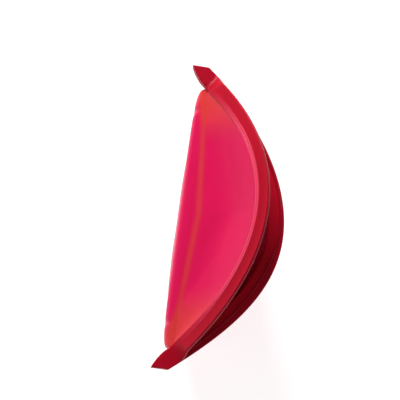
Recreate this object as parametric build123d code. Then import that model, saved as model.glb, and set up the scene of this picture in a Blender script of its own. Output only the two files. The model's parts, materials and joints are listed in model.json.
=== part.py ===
"""Stand-up silicone food bag with a press-to-seal mouth, folded back and half open.

X runs along the mouth, -Y is the front and +Z is up. The origin is the middle of the face it stands on.
The mouth is two lips that turn about one straight fold line, which joins the ears at the mouth's corners.
Each lip lies in a plane through that line, and the front lip carries a soft flap that fills its bend.
"""

import math
import os

from build123d import *

# Base and pouch
BASE_LENGTH = 160.0
BASE_WIDTH = 64.0
BASE_THICK = 3.0
BASE_SQUARENESS = 2.4
FOOT_HEIGHT = 1.5
FOOT_WIDTH = 5.0
WALL = 2.0
BELLY = 0.01
POUCH_LEVELS = 5
OUTLINE_POINTS = 17

# Fold line between the ears: the axis that the mouth turns about
FOLD_Y = -27.0
FOLD_Z = 110.0
FOLD_DEPTH = 9.0
FOLD_SQUARENESS = 6.0
FOLD_HALF = 96.0
FOLD_GAP = 0.5

# Lips: two bands that follow a parabola from ear to ear
LIP_HALF = 116.0
LIP_RISE = 71.0
LIP_BAND = 12.5
LIP_TAPER = 1.384
LIP_THICK = 3.0
LIP_GAP = 0.4
MOUTH_ANGLE = 44.0
LIP_END_FREE = 106.0
LIP_END_NEAR = 96.5
LIP_SWING_GAP = 1.4
FLAP_START = 1.5
FLAP_THICK = 2.0
FLAP_SAG = 7.0
FLAP_EDGE_GAP = 0.3
FLAP_HALF = 94.0
FLAP_SECTIONS = 13

# Seal: a bead on the back lip that presses into a channel strip let into the front lip
SEAL_LINE = 3.8
SEAL_HALF_SPAN = 88.0
RIB_WIDTH = 1.9
RIB_HEIGHT = 1.5
RIB_ROUND = 0.5
CHANNEL_WIDTH = 4.2
CHANNEL_DEPTH = 2.1
CHANNEL_SLOT = 2.6
CHANNEL_SLOT_DEPTH = 1.6

# Ears: the lips' joined ends, and the tabs beyond them that pull the mouth open
JOIN_FREE = 109.6
JOIN_NEAR = 101.1
TAB_FREE = 112.0
TAB_NEAR = 103.5
TAB_END = 117.5
TAB_END_NEAR = -17.3
TAB_THICK = 2 * LIP_THICK + LIP_GAP


def lip_rise_at(x, inward):
    """Distance from the fold line of the parabola that runs inward mm inside the lip's free edge."""
    return (LIP_RISE - inward) * (1 - (x / (LIP_HALF - LIP_TAPER * inward)) ** 2)


def lip_curve(inward, start, end):
    """The exact parabola between two x values, as a curve with one handle where its end tangents cross."""
    slope = -2 * (LIP_RISE - inward) * start / (LIP_HALF - LIP_TAPER * inward) ** 2
    first = (start, lip_rise_at(start, inward))
    handle = ((start + end) / 2, first[1] + slope * (end - start) / 2)
    return Bezier(first, handle, (end, lip_rise_at(end, inward)))


def lip_plane(angle):
    """Plane through the fold line, turned up from horizontal by angle, with its normal on the outer side."""
    tilt = math.radians(angle)
    return Plane(
        origin=(0, FOLD_Y, FOLD_Z), x_dir=(1, 0, 0), z_dir=(0, -math.sin(tilt), math.cos(tilt))
    )


def band_face(outer, inner, outer_half, inner_half):
    """Face between two parabolas, from ear to ear."""
    free = lip_curve(outer, -outer_half, outer_half)
    near = lip_curve(inner, inner_half, -inner_half)
    return make_face(free + Line(free @ 1, near @ 0) + near + Line(near @ 1, free @ 0))


def slab(face, angle, low, high):
    """Extrude a face of the lip's plane from low to high along the plane's normal."""
    return lip_plane(angle) * (Pos(0, 0, low) * extrude(face, high - low))


def seal_face(width, half_span):
    """Face of one strip of the seal, centred on the seal line."""
    outer = SEAL_LINE - width / 2
    inner = SEAL_LINE + width / 2
    return band_face(outer, inner, half_span, half_span)


def superellipse(angle, half_x, half_y, squareness):
    """Point of a superellipse, between an oval and a rounded rectangle."""
    power = 2 / squareness
    cosine = math.cos(angle)
    return (
        half_x * math.copysign(abs(cosine) ** power, cosine),
        half_y * abs(math.sin(angle)) ** power,
    )


def pouch_point(angle, side, level, inset):
    """Point of the pouch's outline at a level from 0 (base) to 1 (mouth), on its front (-1) or back (1)."""
    belly = 1 + BELLY * math.sin(math.pi * level)
    half_x = BASE_LENGTH / 2 * belly - inset
    half_y = BASE_WIDTH / 2 * belly - inset
    low_x, low_y = superellipse(angle, half_x, half_y, BASE_SQUARENESS)
    inward = LIP_BAND - WALL + inset
    top_half = LIP_HALF - LIP_TAPER * inward
    if side < 0:
        top_x, top_y = superellipse(angle, top_half, FOLD_DEPTH - inset, FOLD_SQUARENESS)
    else:
        top_x = top_half * math.cos(angle)
        top_y = lip_rise_at(top_x, inward)
    mix = level * level * (3 - 2 * level)
    return (
        low_x + mix * (top_x - low_x),
        side * low_y + mix * (FOLD_Y + side * top_y - side * low_y),
    )


def half_outline(side, level, inset, from_left=False):
    """Curve of half of the pouch's outline, from seam to seam."""
    angles = [math.pi * i / (OUTLINE_POINTS - 1) for i in range(OUTLINE_POINTS)]
    if from_left:
        angles.reverse()
    return Spline([pouch_point(angle, side, level, inset) for angle in angles])


def pouch_wall(side):
    """Front or back wall: half rings of the pouch's outline, joined from the base up to the lips."""
    top = FOLD_Z - LIP_GAP / 2 - LIP_THICK
    rings = []
    for i in range(POUCH_LEVELS):
        level = i / (POUCH_LEVELS - 1)
        outside = half_outline(side, level, 0)
        inside = half_outline(side, level, WALL, from_left=True)
        ring = outside + Line(outside @ 1, inside @ 0) + inside + Line(inside @ 1, outside @ 0)
        rings.append(Pos(0, 0, BASE_THICK + level * (top - BASE_THICK)) * make_face(ring))
    return loft(rings, ruled=True)


def base_panel():
    """Flat base with a raised foot ring under its edge."""
    outline = half_outline(-1, 0, 0) + half_outline(1, 0, 0, from_left=True)
    recess = half_outline(-1, 0, FOOT_WIDTH) + half_outline(1, 0, FOOT_WIDTH, from_left=True)
    return extrude(make_face(outline), BASE_THICK) - extrude(make_face(recess), FOOT_HEIGHT)


def front_wall():
    """Front wall with the strip that folds over its top, as far as the fold line."""
    edge = half_outline(-1, 1, 0)
    shelf = make_face(edge + Line(edge @ 1, edge @ 0))
    bottom = FOLD_Z - LIP_GAP / 2 - LIP_THICK
    strip = Pos(0, FOLD_Y - FOLD_GAP, bottom) * Box(
        2 * FOLD_HALF, FOLD_DEPTH, LIP_THICK, align=(Align.CENTER, Align.MAX, Align.MIN)
    )
    return pouch_wall(-1) + (Pos(0, 0, bottom) * extrude(shelf, LIP_THICK) & strip)


def back_lip():
    """Back lip, level with the ears, with its seal face upward."""
    face = band_face(0, LIP_BAND, LIP_END_FREE, LIP_END_NEAR)
    return slab(face, 0, -LIP_GAP / 2 - LIP_THICK, -LIP_GAP / 2)


def seal_rib():
    """Bead that stands on the back lip and runs nearly from ear to ear."""
    rib = slab(seal_face(RIB_WIDTH, SEAL_HALF_SPAN), 0, -LIP_GAP / 2, -LIP_GAP / 2 + RIB_HEIGHT)
    top_edges = rib.edges().group_by(Axis.Z)[-1]
    return chamfer(top_edges, RIB_ROUND)


def front_lip():
    """Front lip, lifted by the mouth angle, with a groove in its inner face for the channel strip."""
    face = band_face(0, LIP_BAND, LIP_END_FREE - LIP_SWING_GAP, LIP_END_NEAR - LIP_SWING_GAP)
    lip = slab(face, MOUTH_ANGLE, LIP_GAP / 2, LIP_GAP / 2 + LIP_THICK)
    groove = seal_face(CHANNEL_WIDTH, SEAL_HALF_SPAN + 1)
    return lip - slab(groove, MOUTH_ANGLE, LIP_GAP / 2, LIP_GAP / 2 + CHANNEL_DEPTH)


def seal_channel():
    """Strip with the slot that grips the bead, seated in the front lip's groove."""
    low = LIP_GAP / 2
    strip = slab(seal_face(CHANNEL_WIDTH, SEAL_HALF_SPAN + 1), MOUTH_ANGLE, low, low + CHANNEL_DEPTH)
    slot = seal_face(CHANNEL_SLOT, SEAL_HALF_SPAN + 2)
    return strip - slab(slot, MOUTH_ANGLE, low, low + CHANNEL_SLOT_DEPTH)


def flap_section(x):
    """Section of the flap across the mouth, from the fold line to the front lip, sagging between them."""
    width = lip_rise_at(x, LIP_BAND + FLAP_EDGE_GAP) - FLAP_START
    sag = FLAP_SAG * width / (LIP_RISE - LIP_BAND)
    ends = (FLAP_START, FLAP_START + width)
    middle = FLAP_START + width / 2
    under = ThreePointArc((ends[0], 0), (middle, -sag), (ends[1], 0))
    over = ThreePointArc((ends[1], FLAP_THICK), (middle, FLAP_THICK - sag), (ends[0], FLAP_THICK))
    outline = under + Line(under @ 1, over @ 0) + over + Line(over @ 1, under @ 0)
    return Plane(origin=(x, 0, 0), x_dir=(0, 1, 0), z_dir=(1, 0, 0)) * make_face(outline)


def front_flap():
    """Soft flap between the fold line and the front lip."""
    step = 2 * FLAP_HALF / (FLAP_SECTIONS - 1)
    sections = [flap_section(-FLAP_HALF + i * step) for i in range(FLAP_SECTIONS)]
    flap = loft(sections, ruled=True)
    return lip_plane(MOUTH_ANGLE) * (Pos(0, 0, LIP_GAP / 2) * flap)


def lip_join(side):
    """Joined end of the two lips, at one ear."""
    free = lip_curve(0, LIP_END_FREE, JOIN_FREE)
    near = lip_curve(LIP_BAND, JOIN_NEAR, LIP_END_NEAR)
    face = make_face(free + Line(free @ 1, near @ 0) + near + Line(near @ 1, free @ 0))
    join = slab(face, 0, -TAB_THICK / 2, TAB_THICK / 2)
    return join if side > 0 else mirror(join, about=Plane.YZ)


def pull_tab(side):
    """Tab beyond one ear, with a round root that lets it bend up and down."""
    free = (TAB_FREE, lip_rise_at(TAB_FREE, 0))
    near = (TAB_NEAR, lip_rise_at(TAB_NEAR, LIP_BAND))
    end_free = (TAB_END, lip_rise_at(TAB_END, 0))
    outline = Polyline(free, end_free, (TAB_END, TAB_END_NEAR), near, close=True)
    tab = slab(make_face(outline), 0, -TAB_THICK / 2, TAB_THICK / 2)
    root_line = Vector(*free) - Vector(*near)
    root_plane = Plane(origin=(near[0], FOLD_Y + near[1], FOLD_Z), z_dir=root_line)
    tab += extrude(root_plane * Circle(TAB_THICK / 2), root_line.length)
    return tab if side > 0 else mirror(tab, about=Plane.YZ)


def main():
    """Build every piece and write one STEP file for each."""
    nodes = {
        "base_panel": base_panel(),
        "front_wall": front_wall(),
        "back_wall": pouch_wall(1),
        "front_flap": front_flap(),
        "front_lip": front_lip(),
        "seal_channel": seal_channel(),
        "back_lip": back_lip(),
        "seal_rib": seal_rib(),
        "left_lip_join": lip_join(-1),
        "right_lip_join": lip_join(1),
        "left_pull_tab": pull_tab(-1),
        "right_pull_tab": pull_tab(1),
    }
    os.makedirs("parts", exist_ok=True)
    for name, solid in nodes.items():
        export_step(solid, f"parts/{name}.step")
        print(f"{name}: {solid.volume:.0f} mm3")


main()
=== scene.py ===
"""Looks of the stand-up silicone bag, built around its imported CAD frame.

Lengths in this file are in millimetres until mesh_piece() turns them into metres. X runs along the mouth,
-Y is the front and +Z is up. The lips follow parabolas that turn about the fold line between the two ears.
"""

import json
import math

import bmesh
import bpy
from mathutils import Matrix, Vector, noise


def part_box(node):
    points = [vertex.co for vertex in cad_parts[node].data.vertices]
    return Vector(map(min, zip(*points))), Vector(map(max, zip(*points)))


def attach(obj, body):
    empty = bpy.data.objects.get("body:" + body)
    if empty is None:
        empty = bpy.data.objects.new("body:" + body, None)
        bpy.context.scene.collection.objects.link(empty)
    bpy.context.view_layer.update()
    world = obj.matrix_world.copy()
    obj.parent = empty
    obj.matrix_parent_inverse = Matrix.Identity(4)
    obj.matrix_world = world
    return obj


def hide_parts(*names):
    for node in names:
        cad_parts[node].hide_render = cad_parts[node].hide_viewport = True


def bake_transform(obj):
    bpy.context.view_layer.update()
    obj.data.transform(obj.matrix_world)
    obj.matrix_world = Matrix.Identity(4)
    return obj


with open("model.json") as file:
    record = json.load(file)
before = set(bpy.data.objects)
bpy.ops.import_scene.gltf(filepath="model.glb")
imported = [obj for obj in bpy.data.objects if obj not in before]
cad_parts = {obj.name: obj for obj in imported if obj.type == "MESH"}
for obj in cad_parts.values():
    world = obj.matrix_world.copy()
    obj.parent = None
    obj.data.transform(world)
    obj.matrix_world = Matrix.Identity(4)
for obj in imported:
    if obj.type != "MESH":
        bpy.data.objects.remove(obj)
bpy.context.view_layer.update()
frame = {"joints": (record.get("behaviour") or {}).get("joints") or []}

MM = 0.001


def joint(name):
    """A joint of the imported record, by name."""
    return next(j for j in frame["joints"] if j["name"] == name)


# Fold line and lips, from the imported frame
SWING = joint("mouth_swing")
FOLD_Y = SWING["pos_m"][1] / MM
FOLD_Z = SWING["pos_m"][2] / MM
MOUTH_ANGLE = -SWING["range_deg"][0]
LIP_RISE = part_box("back_lip")[1].y / MM - FOLD_Y
BASE_HALF_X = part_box("base_panel")[1].x / MM
BASE_HALF_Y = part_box("base_panel")[1].y / MM
BASE_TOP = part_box("base_panel")[1].z / MM
TAB_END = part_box("right_pull_tab")[1].x / MM
TAB_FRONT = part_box("right_pull_tab")[0].y / MM - FOLD_Y
EAR_HALF = (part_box("right_pull_tab")[1].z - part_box("right_pull_tab")[0].z) / MM / 2

# Lips: w is measured inward from the free edge, n along the lip's outer normal from its plane
LIP_HALF = 116.0
LIP_TAPER = 1.384
LIP_BAND = 12.2
BACK_SKEW = 6.0
LIP_IN = 0.2
LIP_OUT = 3.2
EDGE_ROUND = 0.75
FACE_WIDTH = 7.8
RIM_OUT = 2.5
RIDGES = ((0.28, 0.40), (0.88, 0.55))
LIP_STATIONS = 72
ROOT_FREE = 0.9655
ROOT_NEAR = 1.0486
TWIST_WIDTH = 11.0

# Ears: inner handles of the near edge, and how the cut end thins
EAR_HANDLES = ((106.5, -8.6), (112.0, -12.6))
EAR_CORNER = 2.6
EAR_JOIN = 0.2
EAR_CHAMFER_START = 0.97
EAR_CHAMFER = 0.86
EAR_STATIONS = 26

# Flap between the front lip and the fold
FLAP_HALF_THICK = 1.0
FLAP_LEVEL = 1.25
FLAP_SAG = 7.0
FLAP_END = 0.995
FOLD_HALF = 100.0
RIDGE_CORNER = 80.0
RIDGE_SLOPE = 0.438
RIDGE_DROP = 4.0
RIDGE_SHARE = 0.6
RIDGE_ROUND = 5.0
FLAP_ROWS = 44

# Painted reflection on the silicone: an orange streak of reflected light along the crest of the fold, and an
# orange reflection on a facet beside each ear
STREAK_REACH = 6.0
STREAK_SLOPE = 0.085
STREAK_HALF = 2.2
STREAK_END = 104.0
STREAK_FADE = 24.0
STREAK_SHARE = 0.8
FACET_START = 52.0
FACET_FADE = 34.0
FACET_SHARE = 0.85

# Pouch walls
WALL = 2.0
BELLY = 0.01
BASE_SQUARENESS = 2.4
FOLD_DEPTH = 9.0
FOLD_SQUARENESS = 6.0
DENT_X = 83.0
DENT_DEPTH = 1.2
DENT_HALF = 2.4
WAVE_HEIGHT = 1.6
WAVE_LENGTH = 46.0
WAVE_RISE = 38.0
WALL_COLUMNS = 120
WALL_LEVELS = 36
ROLL_HEIGHT = 9.0
ROLL_STEPS = 12

# Camera, in metres
CAMERA_PLACE = (0.1796, -0.0693, 0.8096)
CAMERA_BACK = (0.2626, -0.0648, 0.9627)
CAMERA_UP = (-0.9565, -0.1491, 0.2508)
SENSOR = 36.0
FOCAL_PIXELS = 963.65
IMAGE_PIXELS = 400.0

# Lights: place and target in metres, power in watts
LIGHT_TARGET = (0, 0, 0.1)
KEY_PLACE = (-0.95, -0.4, 0.75)
KEY_SIZE = 0.4
KEY_POWER = 14.0
FILL_PLACE = (0.2, -1.2, 0.5)
FILL_SIZE = 1.0
FILL_POWER = 2.0
WORLD_STRENGTH = 0.22

# Seal
SEAL_LINE = 3.8
RIB_HALF = 0.95
RIB_HEIGHT = 1.5
CHANNEL_HALF = 2.1
CHANNEL_DEPTH = 2.1
SLOT_HALF = 1.3
SLOT_DEPTH = 1.6
SEAL_STATION = 0.93


def smooth(t):
    """Smoothstep of t, held between 0 and 1."""
    t = max(0.0, min(1.0, t))
    return t * t * (3 - 2 * t)


def mix(a, b, t):
    """Straight mix of two numbers."""
    return a + (b - a) * t


def bezier(points, t):
    """Point of a cubic curve through its first and last handles."""
    weights = ((1 - t) ** 3, 3 * t * (1 - t) ** 2, 3 * t * t * (1 - t), t**3)
    return tuple(sum(weight * point[i] for weight, point in zip(weights, points)) for i in range(2))


# Meshes
def mesh_piece(name, points, faces, material, sharp_angle=40.0, attributes=None):
    """Mesh object from points in millimetres, with its rest position kept as a texture space."""
    mesh = bpy.data.meshes.new(name)
    mesh.from_pydata([Vector(p) * MM for p in points], [], faces)
    mesh.validate()
    obj = bpy.data.objects.new(name, mesh)
    bpy.context.scene.collection.objects.link(obj)
    rest = mesh.attributes.new("rest", "FLOAT_VECTOR", "POINT")
    for i, vertex in enumerate(mesh.vertices):
        rest.data[i].vector = vertex.co
    for key, values in (attributes or {}).items():
        layer = mesh.attributes.new(key, "FLOAT", "POINT")
        for i, value in enumerate(values):
            layer.data[i].value = value
    mesh.shade_smooth()
    mesh.set_sharp_from_angle(angle=math.radians(sharp_angle))
    mesh.materials.append(material)
    return obj


def tube(rows, count):
    """Faces of an open tube through rows of count points each."""
    faces = []
    for i in range(rows - 1):
        a, b = i * count, (i + 1) * count
        for k in range(count):
            m = (k + 1) % count
            faces.append((a + k, a + m, b + m, b + k))
    return faces


def sweep(sections):
    """Points and faces of a solid through rings of equal length, with capped ends."""
    count = len(sections[0])
    end = (len(sections) - 1) * count
    faces = tube(len(sections), count)
    faces.append(tuple(range(count))[::-1])
    faces.append(tuple(range(end, end + count)))
    return [p for section in sections for p in section], faces


def fix_normals(obj):
    """Turn every face of a closed piece outward."""
    work = bmesh.new()
    work.from_mesh(obj.data)
    bmesh.ops.recalc_face_normals(work, faces=work.faces)
    work.to_mesh(obj.data)
    work.free()
    return obj


# Lip geometry
def arc_point(s, w, skew=0.0):
    """Point (x, r) of the lip's plane at parameter s along it and w mm inside its free edge."""
    fall = 1 - s * s
    return s * (LIP_HALF - LIP_TAPER * w) + skew * fall * fall, (LIP_RISE - w) * fall


def lift(x, r, n, angle):
    """Point in space of (x, r, n) on a plane through the fold line raised by angle degrees."""
    tilt = math.radians(angle)
    return (
        x,
        FOLD_Y + r * math.cos(tilt) - n * math.sin(tilt),
        FOLD_Z + r * math.sin(tilt) + n * math.cos(tilt),
    )


def twist_frame():
    """Direction (x, r) out of the ear across its root, and the root's distance along it."""
    free, near = arc_point(ROOT_FREE, 0), arc_point(ROOT_NEAR, LIP_BAND)
    run, rise = free[0] - near[0], free[1] - near[1]
    length = math.hypot(run, rise)
    normal = (rise / length, -run / length)
    return normal, normal[0] * free[0] + normal[1] * free[1]


def front_angle(x, y=0.0):
    """Angle of the front lip and flap at x and y mm behind the fold, easing to level at the ears."""
    normal, root = twist_frame()
    return MOUTH_ANGLE * smooth((root - normal[0] * abs(x) - normal[1] * y) / TWIST_WIDTH)


def raised(x, r, n):
    """Point in space of (x, r, n) on the front lip or flap, turned as its final place asks for."""
    angle = MOUTH_ANGLE
    for _ in range(12):
        angle = mix(angle, front_angle(x, lift(x, r, n, angle)[1] - FOLD_Y), 0.7)
    return lift(x, r, n, angle)


def station(k, w):
    """Parameter s of the station k from 0 (middle) to 1 (root of the ear) at w mm inside the free edge."""
    return k * mix(ROOT_FREE, ROOT_NEAR, w / LIP_BAND)


def corner(w, n, start):
    """Quarter turn of a rounded edge about (w, n), from the start angle in degrees."""
    turns = [math.radians(start + 90 * i / 4) for i in range(5)]
    return [(w + EDGE_ROUND * math.cos(turn), n + EDGE_ROUND * math.sin(turn)) for turn in turns]


def front_ring(k):
    """Ring of (w, n) round the front lip: a flat face, a strip with two ridges, and the channel's groove."""
    fade = smooth((k - 0.5) / 0.5)
    face = mix(FACE_WIDTH, LIP_BAND - 1.2, fade)
    rim = mix(RIM_OUT, LIP_OUT, fade)
    left, right = SEAL_LINE - CHANNEL_HALF, SEAL_LINE + CHANNEL_HALF
    ring = corner(EDGE_ROUND, LIP_OUT - EDGE_ROUND, 90) + corner(EDGE_ROUND, LIP_IN + EDGE_ROUND, 180)
    ring += [(left, LIP_IN), (left, LIP_IN + CHANNEL_DEPTH), (right, LIP_IN + CHANNEL_DEPTH), (right, LIP_IN)]
    ring += [(mix(right + 0.8, LIP_BAND - 1.0, i / 6), LIP_IN) for i in range(7)]
    ring += corner(LIP_BAND - EDGE_ROUND, LIP_IN + EDGE_ROUND, 270)
    ring += corner(LIP_BAND - EDGE_ROUND, rim - EDGE_ROUND, 0)
    for i in range(1, 25):
        u = i / 24
        ridge = sum(high * math.exp(-((u - place) / 0.085) ** 2) for place, high in RIDGES)
        n = mix(rim, LIP_OUT, u) + ridge * (1 - fade)
        ring.append((mix(LIP_BAND - EDGE_ROUND, face, u), n))
    for i in range(1, 13):
        w = mix(face, EDGE_ROUND + 0.3, i / 12)
        ring.append((w, LIP_OUT - 0.18 * math.sin(math.pi * w / face)))
    return ring


def back_ring(_):
    """Ring of (w, n) round the back lip, whose inner face looks up."""
    ring = corner(EDGE_ROUND, EDGE_ROUND - LIP_OUT, 180)[::-1]
    ring += corner(EDGE_ROUND, -LIP_IN - EDGE_ROUND, 90)[::-1]
    ring += [(mix(EDGE_ROUND + 0.3, LIP_BAND - 1.0, i / 14), -LIP_IN) for i in range(15)]
    ring += corner(LIP_BAND - EDGE_ROUND, -LIP_IN - EDGE_ROUND, 0)[::-1]
    ring += corner(LIP_BAND - EDGE_ROUND, EDGE_ROUND - LIP_OUT, 270)[::-1]
    ring += [(mix(LIP_BAND - 1.0, EDGE_ROUND + 0.3, i / 8), -LIP_OUT) for i in range(9)]
    return ring


def strip_highlight(k, w, n):
    """How far a point of the front lip gets the painted highlight that makes its ridged strip paler."""
    if n < RIM_OUT - EDGE_ROUND:
        return 0.0
    return smooth((w - FACE_WIDTH + 0.2) / 0.6) * (1 - smooth((k - 0.5) / 0.5))


def lip_half(name, side, ring, angled, material, end=1.0, skew=0.0):
    """Half of a lip or of a seal strip, from the middle of the mouth towards one ear."""
    sections, painted_light = [], []
    for i in range(LIP_STATIONS + 1):
        k = end * i / LIP_STATIONS
        section = []
        for w, n in ring(k):
            x, r = arc_point(side * station(k, w), w, skew)
            section.append(raised(x, r, n) if angled else lift(x, r, n, 0.0))
            # painted highlight on the front lip's ridged strip, fading out towards the ears
            painted_light.append(strip_highlight(k, w, n))
        sections.append(section)
    points, faces = sweep(sections)
    return fix_normals(mesh_piece(name, points, faces, material, 30.0, {"painted_light": painted_light}))


# Front flap
def ridge_reach(x):
    """Distance from the fold of the soft ridge that fans out of each ear."""
    return (RIDGE_CORNER - abs(x)) * RIDGE_SLOPE - RIDGE_DROP


def flap_dip(x, r, reach):
    """Height of the flap's middle surface over its chord: a sag, and the soft ridges."""
    if reach < 0.5:
        return 0.0
    t = r / reach
    sag = FLAP_SAG * reach / (LIP_RISE - LIP_BAND)
    ridge = max(0.02, min(0.9, ridge_reach(x) / reach))
    depth = 4 * sag * ridge * (1 - ridge)
    rise, fall = depth * t / ridge, depth * (1 - t) / (1 - ridge)
    round_off = min(RIDGE_ROUND, 0.9 * depth)
    gap = max(round_off - abs(rise - fall), 0.0)
    fold = min(rise, fall) - gap * gap / (4 * max(round_off, 1e-6))
    return -mix(4 * sag * t * (1 - t), fold, RIDGE_SHARE)


def painted_reflection(x, r):
    """How much painted orange reflection a point gets: a streak of reflected light along the crest of the
    fold, and a reflection on the facets that run up from the ears.
    """
    middle = STREAK_REACH - STREAK_SLOPE * abs(x)
    streak = math.exp(-(((r - middle) / STREAK_HALF) ** 2)) * smooth((STREAK_END - abs(x)) / STREAK_FADE)
    facet = smooth((abs(x) - FACET_START) / FACET_FADE) * smooth((r - ridge_reach(x) + 4) / 9)
    return min(1.0, STREAK_SHARE * streak + FACET_SHARE * facet)


def flap_column(s):
    """Middle line (x, r, n) of the flap at one place along the mouth, from under the lip to the fold."""
    line = [(*arc_point(s, LIP_BAND - tuck), FLAP_LEVEL) for tuck in (1.4, 0.9, 0.4)]
    near_x, near_r = arc_point(s, LIP_BAND)
    for i in range(FLAP_ROWS + 1):
        t = i / FLAP_ROWS
        x, r = mix(near_x, s * FOLD_HALF, t), near_r * (1 - t)
        line.append((x, r, FLAP_LEVEL * (1 - t) + flap_dip(x, r, near_r)))
    return line


def skin(name, tops, unders, material, sharp_angle, painted_light):
    """Closed skin from matching rows of points on its two sides."""
    count, half = 2 * len(tops[0]), len(tops[0])
    points = [p for top, under in zip(tops, unders) for p in top + under[::-1]]
    faces = tube(len(tops), count)
    for start in (0, (len(tops) - 1) * count):
        for k in range(half - 1):
            faces.append((start + k, start + k + 1, start + count - 2 - k, start + count - 1 - k))
    return fix_normals(mesh_piece(name, points, faces, material, sharp_angle, {"painted_light": painted_light}))


def flap_half(name, side, material):
    """Half of the flap, from the middle of the mouth to one ear."""
    tops, unders, painted_light = [], [], []
    for i in range(LIP_STATIONS + 1):
        line = flap_column(side * FLAP_END * i / LIP_STATIONS)
        tops.append([raised(x, r, n + FLAP_HALF_THICK) for x, r, n in line])
        unders.append([raised(x, r, n - FLAP_HALF_THICK) for x, r, n in line])
        # painted orange reflection along the fold and on the facets by the ears
        reflections = [painted_reflection(x, r) for x, r, _ in line]
        painted_light += reflections + reflections[::-1]
    return skin(name, tops, unders, material, 50.0, painted_light)


# Pouch walls
def superellipse(angle, half_x, half_y, squareness):
    """Point of a superellipse, between an oval and a rounded rectangle."""
    power = 2 / squareness
    cosine = math.cos(angle)
    return (
        half_x * math.copysign(abs(cosine) ** power, cosine),
        half_y * abs(math.sin(angle)) ** power,
    )


def outline_point(angle, side, level, inset):
    """Point of the pouch's outline at a level from 0 (base) to 1 (mouth), on its front (-1) or back (1)."""
    belly = 1 + BELLY * math.sin(math.pi * level)
    low_x, low_y = superellipse(
        angle, BASE_HALF_X * belly - inset, BASE_HALF_Y * belly - inset, BASE_SQUARENESS
    )
    inward = LIP_BAND - WALL + inset
    top_half = LIP_HALF - LIP_TAPER * inward
    if side < 0:
        top_x, top_y = superellipse(angle, top_half, FOLD_DEPTH - inset, FOLD_SQUARENESS)
    else:
        top_x = top_half * math.cos(angle)
        fall = 1 - (top_x / top_half) ** 2
        top_y = (LIP_RISE - inward) * fall
        top_x += BACK_SKEW * fall * fall
    blend = level * level * (3 - 2 * level)
    return (
        mix(low_x, top_x, blend),
        mix(side * low_y, FOLD_Y + side * top_y, blend),
    )


def softness(x, z, side):
    """Gentle unevenness of the wall, which fades out at the base and the mouth."""
    fade = math.sin(math.pi * max(0.0, min(1.0, z / FOLD_Z)))
    wave = noise.noise(Vector((x / WAVE_LENGTH, side * 3.1, z / WAVE_RISE)))
    return WAVE_HEIGHT * wave * fade


def dent(x, z):
    """Small dent in the roll of the fold near each end, where the flap's soft ridge starts."""
    return DENT_DEPTH * math.exp(-(((abs(x) - DENT_X) / DENT_HALF) ** 2)) * smooth((z - FOLD_Z + 24) / 14)


def wall_column(angle, side, inset):
    """Points up one column of a wall, from the base to just under the lips."""
    top = FOLD_Z - LIP_OUT if side > 0 else FOLD_Z - ROLL_HEIGHT
    line = []
    for i in range(WALL_LEVELS + 1):
        z = mix(BASE_TOP * 0.4, top, i / WALL_LEVELS)
        level = max(0.0, (z - BASE_TOP) / (FOLD_Z - LIP_OUT - BASE_TOP))
        x, y = outline_point(angle, side, level, inset)
        push = softness(x, z, side) * math.sin(angle) * side
        line.append((x, y + push + (dent(x, z) if side < 0 else 0.0), z))
    return line


def fold_slope(x):
    """Slope in degrees at which the flap leaves the fold."""
    dip = math.degrees(math.atan(4 * FLAP_SAG / (LIP_RISE - LIP_BAND)))
    return front_angle(x) - 0.7 * dip


def roll_column(angle, inset):
    """Points over the roll at the top of the front wall, from the wall to the fold line."""
    x, y = outline_point(angle, -1, (FOLD_Z - ROLL_HEIGHT - BASE_TOP) / (FOLD_Z - LIP_OUT - BASE_TOP), 0)
    y += dent(x, FOLD_Z)
    depth = FOLD_Y - y
    end_x = math.copysign(min(abs(x), FOLD_HALF), x)
    slope = math.radians(fold_slope(end_x))
    side = FLAP_HALF_THICK if inset == 0 else -FLAP_HALF_THICK
    line = []
    for i in range(1, ROLL_STEPS + 1):
        t = i / ROLL_STEPS
        start = (y + (0 if inset == 0 else WALL), FOLD_Z - ROLL_HEIGHT)
        end = (FOLD_Y - side * math.sin(slope), FOLD_Z + side * math.cos(slope))
        first = (start[0], start[1] + ROLL_HEIGHT * 0.72)
        second = (end[0] - depth * 0.62 * math.cos(slope), end[1] - depth * 0.62 * math.sin(slope))
        line.append((mix(x, end_x, t), *bezier((start, first, second, end), t)))
    return line


def wall_skin(name, side, material):
    """Front or back wall as a closed skin, from seam to seam."""
    outers, inners, painted_light = [], [], []
    for i in range(WALL_COLUMNS + 1):
        angle = math.pi * i / WALL_COLUMNS
        outer, inner = wall_column(angle, side, 0), wall_column(angle, side, WALL)
        if side < 0:
            outer += roll_column(angle, 0)
            inner += roll_column(angle, WALL)
        outers.append(outer)
        inners.append(inner)
        # painted orange reflection on the front wall's roll near the fold; the back wall gets none
        front = 1.0 if side < 0 else 0.0
        reflections = [front * painted_reflection(x, y - FOLD_Y) * smooth((z - FOLD_Z + 18) / 17) for x, y, z in outer]
        painted_light += reflections + reflections[::-1]
    return skin(name, outers, inners, material, 60.0, painted_light)


def base_outline(inset, z):
    """Closed ring of the base's outline at one inset and height."""
    ring = []
    for i in range(WALL_COLUMNS * 2):
        angle = math.pi * i / WALL_COLUMNS
        x, y = superellipse(angle, BASE_HALF_X - inset, BASE_HALF_Y - inset, BASE_SQUARENESS)
        ring.append((x, math.copysign(y, math.sin(angle)) if y else 0.0, z))
    return ring


def base(material):
    """Base with a rounded foot ring, a recessed underside and a floor inside."""
    # inset from the outline and height, from the recess round the foot ring to the floor inside
    profile = (
        (7.0, 1.5), (5.8, 1.5), (5.2, 1.2), (4.9, 0.3), (4.4, 0.0), (1.6, 0.0), (0.7, 0.25), (0.15, 0.9),
        (0.0, 1.8), (0.0, 3.6), (2.1, 3.6), (2.4, 3.2), (3.4, 3.0), (8.0, 3.0),
    )
    points, faces = sweep([base_outline(inset, z) for inset, z in profile])
    return fix_normals(mesh_piece("base", points, faces, material, 40.0))


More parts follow.
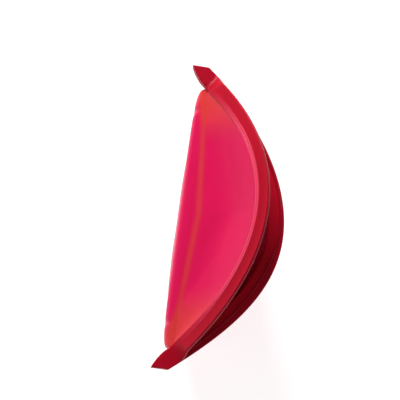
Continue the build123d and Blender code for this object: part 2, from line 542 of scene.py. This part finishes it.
# Ears
def ear_line(k):
    """Free and near ends of the ear's section, from its root inside the lips (0) to its cut end (1)."""
    free_root, near_root = arc_point(ROOT_FREE, 0), arc_point(ROOT_NEAR, LIP_BAND)
    if k < EAR_JOIN:
        pull = mix(0.985, 1.0, k / EAR_JOIN)
        return arc_point(pull * ROOT_FREE, 0), arc_point(pull * ROOT_NEAR, LIP_BAND)
    t = (k - EAR_JOIN) / (1 - EAR_JOIN)
    end_r = LIP_RISE * (1 - (TAB_END / LIP_HALF) ** 2)
    handles = (near_root, *EAR_HANDLES, (TAB_END, TAB_FRONT + EAR_CORNER))
    return (mix(free_root[0], TAB_END, t), mix(free_root[1], end_r, t)), bezier(handles, t)


def ear(name, side, material):
    """Joined end of the two lips and the pull tab beyond it, with a cut end and a parting line."""
    sections = []
    for i in range(EAR_STATIONS + 1):
        k = i / EAR_STATIONS
        free, near = ear_line(k)
        shrink = 1.0 if k < EAR_CHAMFER_START else EAR_CHAMFER
        length = math.hypot(near[0] - free[0], near[1] - free[1])
        direction = ((near[0] - free[0]) / length, (near[1] - free[1]) / length)
        half = EAR_HALF * shrink
        low, high, far = EDGE_ROUND - half, half - EDGE_ROUND, length - EDGE_ROUND
        profile = corner(EDGE_ROUND, high, 90) + [(0.0, 0.35), (0.35, 0.0), (0.0, -0.35)]
        profile += corner(EDGE_ROUND, low, 180)
        profile += [(mix(1.2, length - 1.2, j / 10), -half) for j in range(11)]
        profile += corner(far, low, 270) + [(length, -0.35), (length - 0.35, 0.0), (length, 0.35)]
        profile += corner(far, high, 0)
        profile += [(mix(length - 1.2, 1.2, j / 10), half) for j in range(11)]
        ring = []
        for w, n in profile:
            x = free[0] + direction[0] * w
            r = free[1] + direction[1] * w
            ring.append(lift(side * x, r, n, 0.0))
        sections.append(ring)
    points, faces = sweep(sections)
    return fix_normals(mesh_piece(name, points, faces, material, 30.0))


# Seal
def seal_ring(points_list):
    """Ring of a seal strip's section from (offset across, height) pairs about the seal line."""
    return lambda _: [(SEAL_LINE + across, height) for across, height in points_list]


def rib_section():
    """Bead with a round top that stands on the back lip."""
    ring = [(-RIB_HALF, -LIP_IN - 0.4)]
    for i in range(9):
        turn = math.pi * (1 - i / 8)
        ring.append((RIB_HALF * math.cos(turn), -LIP_IN + RIB_HEIGHT - 0.7 + 0.7 * math.sin(turn)))
    ring.append((RIB_HALF, -LIP_IN - 0.4))
    return seal_ring(ring)


def channel_section():
    """Strip with the slot that grips the bead."""
    low = LIP_IN
    return seal_ring([
        (-CHANNEL_HALF + 0.05, low - 0.02), (-CHANNEL_HALF + 0.05, low + CHANNEL_DEPTH - 0.05),
        (CHANNEL_HALF - 0.05, low + CHANNEL_DEPTH - 0.05), (CHANNEL_HALF - 0.05, low - 0.02),
        (SLOT_HALF, low - 0.02), (SLOT_HALF - 0.25, low + 0.35), (SLOT_HALF, low + 0.7),
        (SLOT_HALF, low + SLOT_DEPTH), (-SLOT_HALF, low + SLOT_DEPTH),
        (-SLOT_HALF, low + 0.7), (-SLOT_HALF + 0.25, low + 0.35), (-SLOT_HALF, low - 0.02),
    ])


# Materials
def silicone(name, color, deep, roughness, painted_light=None):
    """Satin silicone: a colour that drifts along the mouth, fine moulded grain, a thin coat and sheen.

    The last argument is the colour of painted highlight or painted reflection, which shows where the mesh's
    attribute of the same name is 1."""
    material = bpy.data.materials.new(name)
    material.use_nodes = True
    nodes, links = material.node_tree.nodes, material.node_tree.links
    shader = nodes["Principled BSDF"]
    rest = nodes.new("ShaderNodeAttribute")
    rest.attribute_name = "rest"
    drift = nodes.new("ShaderNodeTexNoise")
    drift.inputs["Scale"].default_value = 22.0
    drift.inputs["Detail"].default_value = 3.0
    stretch = nodes.new("ShaderNodeMapping")
    stretch.inputs["Scale"].default_value = (0.4, 1.5, 1.5)
    links.new(rest.outputs["Vector"], stretch.inputs["Vector"])
    links.new(stretch.outputs["Vector"], drift.inputs["Vector"])
    ramp = nodes.new("ShaderNodeValToRGB")
    ramp.color_ramp.elements[0].position = 0.3
    ramp.color_ramp.elements[0].color = (*deep, 1)
    ramp.color_ramp.elements[1].position = 0.7
    ramp.color_ramp.elements[1].color = (*color, 1)
    links.new(drift.outputs["Fac"], ramp.inputs["Fac"])
    result = ramp.outputs["Color"]
    # Painted highlight or painted reflection: its colour is mixed over the base colour as far as the mesh's
    # attribute says.
    if painted_light:
        amount = nodes.new("ShaderNodeAttribute")
        amount.attribute_name = "painted_light"
        tint = nodes.new("ShaderNodeMix")
        tint.data_type = "RGBA"
        tint.inputs["B"].default_value = (*painted_light, 1)
        links.new(amount.outputs["Fac"], tint.inputs["Factor"])
        links.new(result, tint.inputs["A"])
        result = tint.outputs["Result"]
    links.new(result, shader.inputs["Base Color"])
    grain = nodes.new("ShaderNodeTexNoise")
    grain.inputs["Scale"].default_value = 900.0
    grain.inputs["Detail"].default_value = 2.0
    links.new(rest.outputs["Vector"], grain.inputs["Vector"])
    bump = nodes.new("ShaderNodeBump")
    bump.inputs["Strength"].default_value = 0.12
    bump.inputs["Distance"].default_value = 0.0002
    links.new(grain.outputs["Fac"], bump.inputs["Height"])
    links.new(bump.outputs["Normal"], shader.inputs["Normal"])
    polish = nodes.new("ShaderNodeMapRange")
    polish.inputs["To Min"].default_value = roughness - 0.06
    polish.inputs["To Max"].default_value = roughness + 0.08
    links.new(drift.outputs["Fac"], polish.inputs["Value"])
    links.new(polish.outputs["Result"], shader.inputs["Roughness"])
    shader.inputs["Specular IOR Level"].default_value = 0.16
    shader.inputs["Specular Tint"].default_value = (1.0, 0.4, 0.55, 1)
    shader.inputs["Subsurface Weight"].default_value = 0.1
    shader.inputs["Subsurface Radius"].default_value = (1.0, 0.25, 0.3)
    shader.inputs["Subsurface Scale"].default_value = 0.0025
    shader.inputs["Coat Weight"].default_value = 0.03
    shader.inputs["Coat Tint"].default_value = (1.0, 0.8, 0.85, 1)
    shader.inputs["Coat Roughness"].default_value = 0.25
    shader.inputs["Sheen Weight"].default_value = 0.02
    shader.inputs["Sheen Roughness"].default_value = 0.45
    shader.inputs["Sheen Tint"].default_value = (1.0, 0.5, 0.6, 1)
    return material


def plain_floor():
    """Matt pale floor that the bag stands on."""
    bpy.ops.mesh.primitive_plane_add(size=8.0, location=(0, 0, -0.0002))
    floor = bpy.context.object
    floor.name = "floor"
    material = bpy.data.materials.new("floor")
    material.use_nodes = True
    shader = material.node_tree.nodes["Principled BSDF"]
    shader.inputs["Base Color"].default_value = (0.6, 0.6, 0.6, 1)
    shader.inputs["Roughness"].default_value = 0.9
    shader.inputs["Emission Color"].default_value = (1, 1, 1, 1)
    shader.inputs["Emission Strength"].default_value = 0.8
    floor.data.materials.append(material)


# Assembly
def build():
    """Make every piece; hang the back lip, seal rib, walls and base on the pouch's body, and bake the flap,
    front lip, seal channel and ears in place.
    """
    # Wall: its last colour is the orange painted reflection along the fold and on the facets by the ears.
    wall = silicone("silicone_wall", (0.80, 0.006, 0.10), (0.68, 0.004, 0.08), 0.42, (0.74, 0.045, 0.045))
    # Lip: its darker red is partly the thicker silicone's own deeper colour and partly painted shade for how
    # the lip faces the light; its last colour is the painted highlight of the ridged strip.
    lip = silicone("silicone_lip", (0.56, 0.004, 0.024), (0.46, 0.003, 0.018), 0.36, (0.80, 0.05, 0.12))
    seal = silicone("silicone_seal", (0.44, 0.005, 0.022), (0.36, 0.004, 0.02), 0.28)
    bottom = silicone("silicone_base", (0.52, 0.006, 0.05), (0.44, 0.005, 0.04), 0.45)
    for side, label in ((-1, "left"), (1, "right")):
        flap = flap_half(f"{label}_flap", side, wall)
        front = lip_half(f"{label}_front_lip", side, front_ring, True, lip)
        channel = lip_half(f"{label}_seal_channel", side, channel_section(), True, seal, SEAL_STATION)
        for piece, node, slot in (
            (flap, "front_flap", "silicone_wall"),
            (front, "front_lip", "silicone_lip"),
            (channel, "seal_channel", "silicone_seal"),
        ):
            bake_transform(piece)
            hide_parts(node)
        tab = ear(f"{label}_ear", side, lip)
        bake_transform(tab)
        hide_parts(f"{label}_lip_join", f"{label}_pull_tab")
        back = lip_half(f"{label}_back_lip", side, back_ring, False, lip, skew=BACK_SKEW)
        rib = lip_half(f"{label}_seal_rib", side, rib_section(), False, seal, SEAL_STATION)
        for piece, node, slot in ((back, "back_lip", "silicone_lip"), (rib, "seal_rib", "silicone_seal")):
            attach(piece, "pouch")
            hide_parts(node)
    for piece, node, slot in (
        (wall_skin("front_wall_skin", -1, wall), "front_wall", "silicone_wall"),
        (wall_skin("back_wall_skin", 1, wall), "back_wall", "silicone_wall"),
        (base(bottom), "base_panel", "silicone_base"),
    ):
        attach(piece, "pouch")
        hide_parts(node)


# Camera and light
def camera():
    """Camera high over the mouth, leaning towards the right ear."""
    data = bpy.data.cameras.new("camera")
    data.sensor_width = SENSOR
    data.lens = SENSOR * FOCAL_PIXELS / IMAGE_PIXELS
    data.clip_start = 0.05
    data.clip_end = 20.0
    obj = bpy.data.objects.new("camera", data)
    bpy.context.scene.collection.objects.link(obj)
    back = Vector(CAMERA_BACK).normalized()
    right = Vector(CAMERA_UP).cross(back).normalized()
    up = back.cross(right)
    obj.matrix_world = Matrix((
        (right.x, up.x, back.x, CAMERA_PLACE[0]),
        (right.y, up.y, back.y, CAMERA_PLACE[1]),
        (right.z, up.z, back.z, CAMERA_PLACE[2]),
        (0, 0, 0, 1),
    ))
    bpy.context.scene.camera = obj


def area_light(name, place, size, power, color):
    """Soft square light at place, turned towards the bag."""
    data = bpy.data.lights.new(name, "AREA")
    data.size = size
    data.energy = power
    data.color = color
    obj = bpy.data.objects.new(name, data)
    obj.location = place
    obj.rotation_euler = (Vector(LIGHT_TARGET) - Vector(place)).to_track_quat("-Z", "Y").to_euler()
    bpy.context.scene.collection.objects.link(obj)


def studio():
    """Pale surroundings, a key light over the left ear and the front, and a weak fill."""
    scene = bpy.context.scene
    scene.view_settings.view_transform = "Standard"
    world = bpy.data.worlds.new("world")
    world.use_nodes = True
    world.node_tree.nodes["Background"].inputs["Color"].default_value = (1, 1, 1, 1)
    world.node_tree.nodes["Background"].inputs["Strength"].default_value = WORLD_STRENGTH
    scene.world = world
    area_light("key", KEY_PLACE, KEY_SIZE, KEY_POWER, (1.0, 0.97, 0.95))
    area_light("fill", FILL_PLACE, FILL_SIZE, FILL_POWER, (0.95, 0.97, 1.0))


build()
plain_floor()
studio()
camera()
